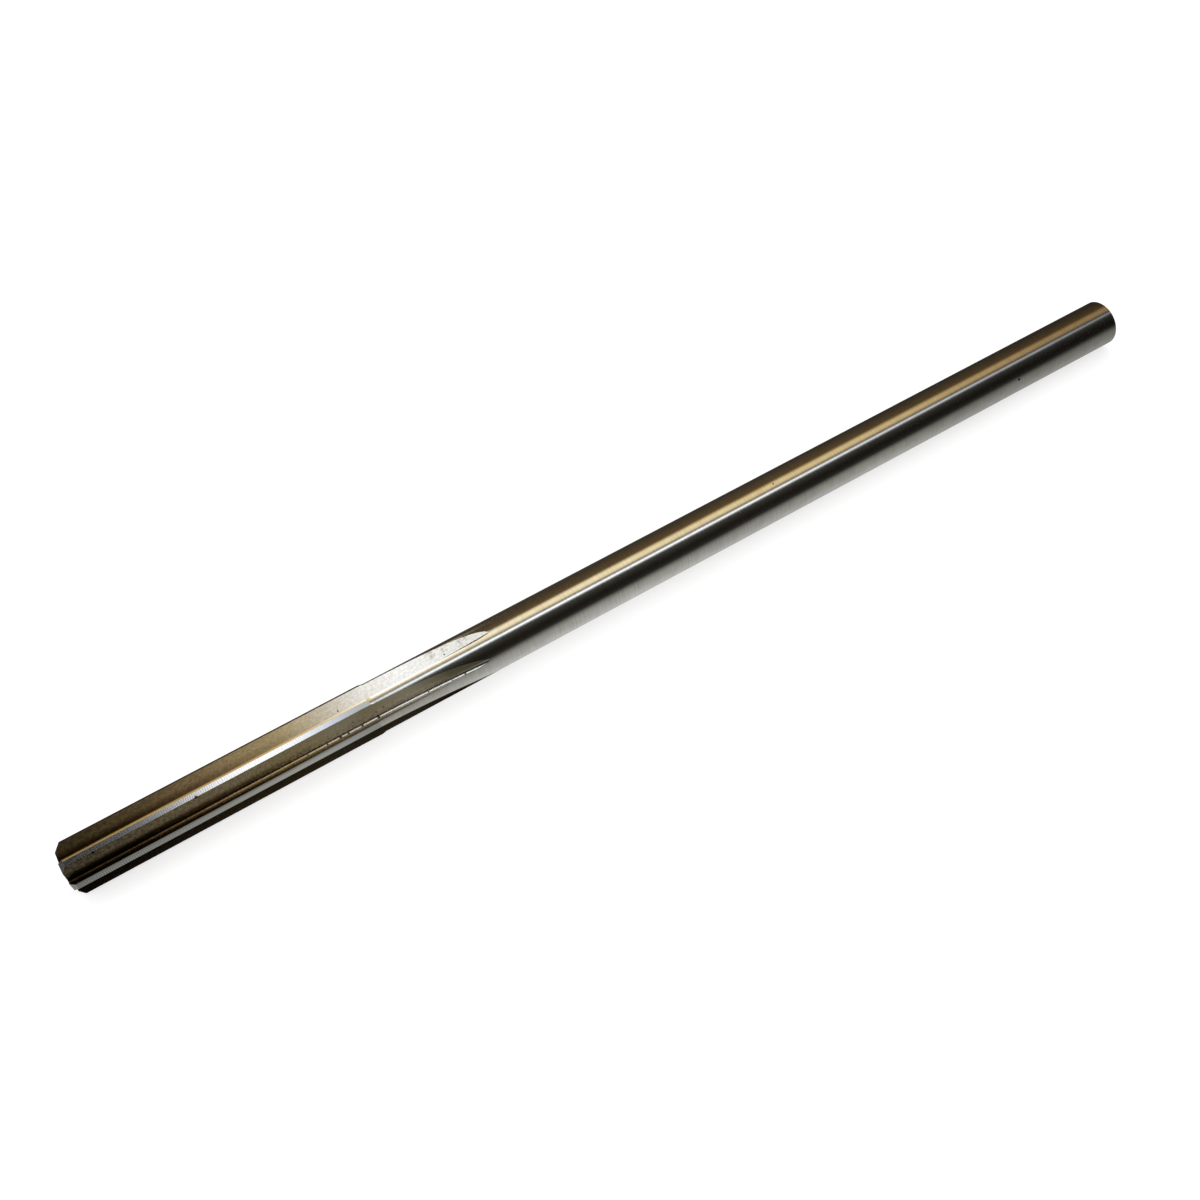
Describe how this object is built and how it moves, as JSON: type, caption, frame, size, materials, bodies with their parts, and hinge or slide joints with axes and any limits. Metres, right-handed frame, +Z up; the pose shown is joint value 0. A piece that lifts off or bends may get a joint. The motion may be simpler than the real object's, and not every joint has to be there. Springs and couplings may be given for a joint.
{
  "type": "bushing reamer",
  "caption": "Straight-shank machine reamer: straight right-hand-cut flutes that run out into a plain ground shank, unevenly spaced teeth, a short 45 degree lead and a small shoulder.",
  "frame": {"origin": "centre of the cutting end's face, on the tool's axis", "axes": "+X along the tool's axis from the cutting end to the shank's end, +Z up as the tool lies at rest"},
  "size_m": [0.1524, 0.0064, 0.0064],
  "materials": {
    "ground_tool_steel": "satin"
  },
  "bodies": {
    "root": {"bushing_reamer": "ground_tool_steel"}
  },
  "joints": []
}
